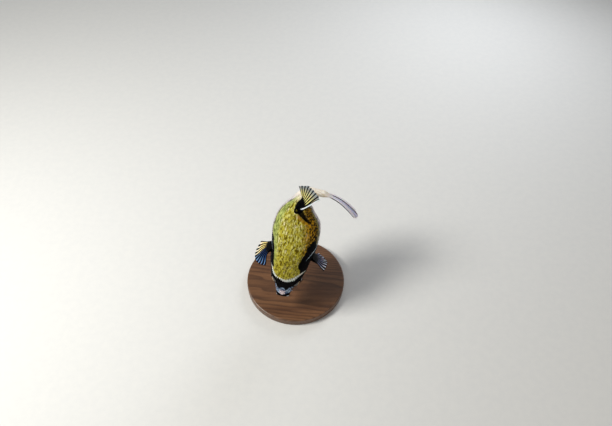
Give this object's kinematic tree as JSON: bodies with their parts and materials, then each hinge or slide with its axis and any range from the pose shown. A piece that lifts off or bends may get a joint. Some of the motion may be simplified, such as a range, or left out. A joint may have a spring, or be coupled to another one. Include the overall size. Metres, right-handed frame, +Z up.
{
  "type": "masked puffer display model",
  "caption": "Life-size masked puffer fish, diving nose down with its tail swung to its left, held on a round display stand by one rod.",
  "frame": {"origin": "centre of the round stand base, on its underside", "axes": "+Z up, -Y the way the fish faces as it dives, +X its left side, towards which its tail is swung"},
  "size_m": [0.1643, 0.1505, 0.1998],
  "materials": {
    "skin": "painted resin cast, olive yellow above and pale below, satin",
    "fins": "painted resin, black at the root, dark rays in a pale web",
    "eyes": "polished, dark pupil in a golden ring",
    "beak": "cream, satin",
    "stand_base": "dark stained hardwood, oiled, satin",
    "stand_rod": "brushed"
  },
  "bodies": {
    "root": {"head": "skin", "trunk": "skin", "tail_root": "skin", "tail_stem": "skin", "pectoral_fin_left": "fins", "pectoral_fin_right": "fins", "dorsal_fin": "fins", "anal_fin": "fins", "tail_fin": "fins", "eye_left": "eyes", "eye_right": "eyes", "beak": "beak", "stand_base": "stand_base", "stand_rod": "stand_rod"}
  },
  "joints": []
}
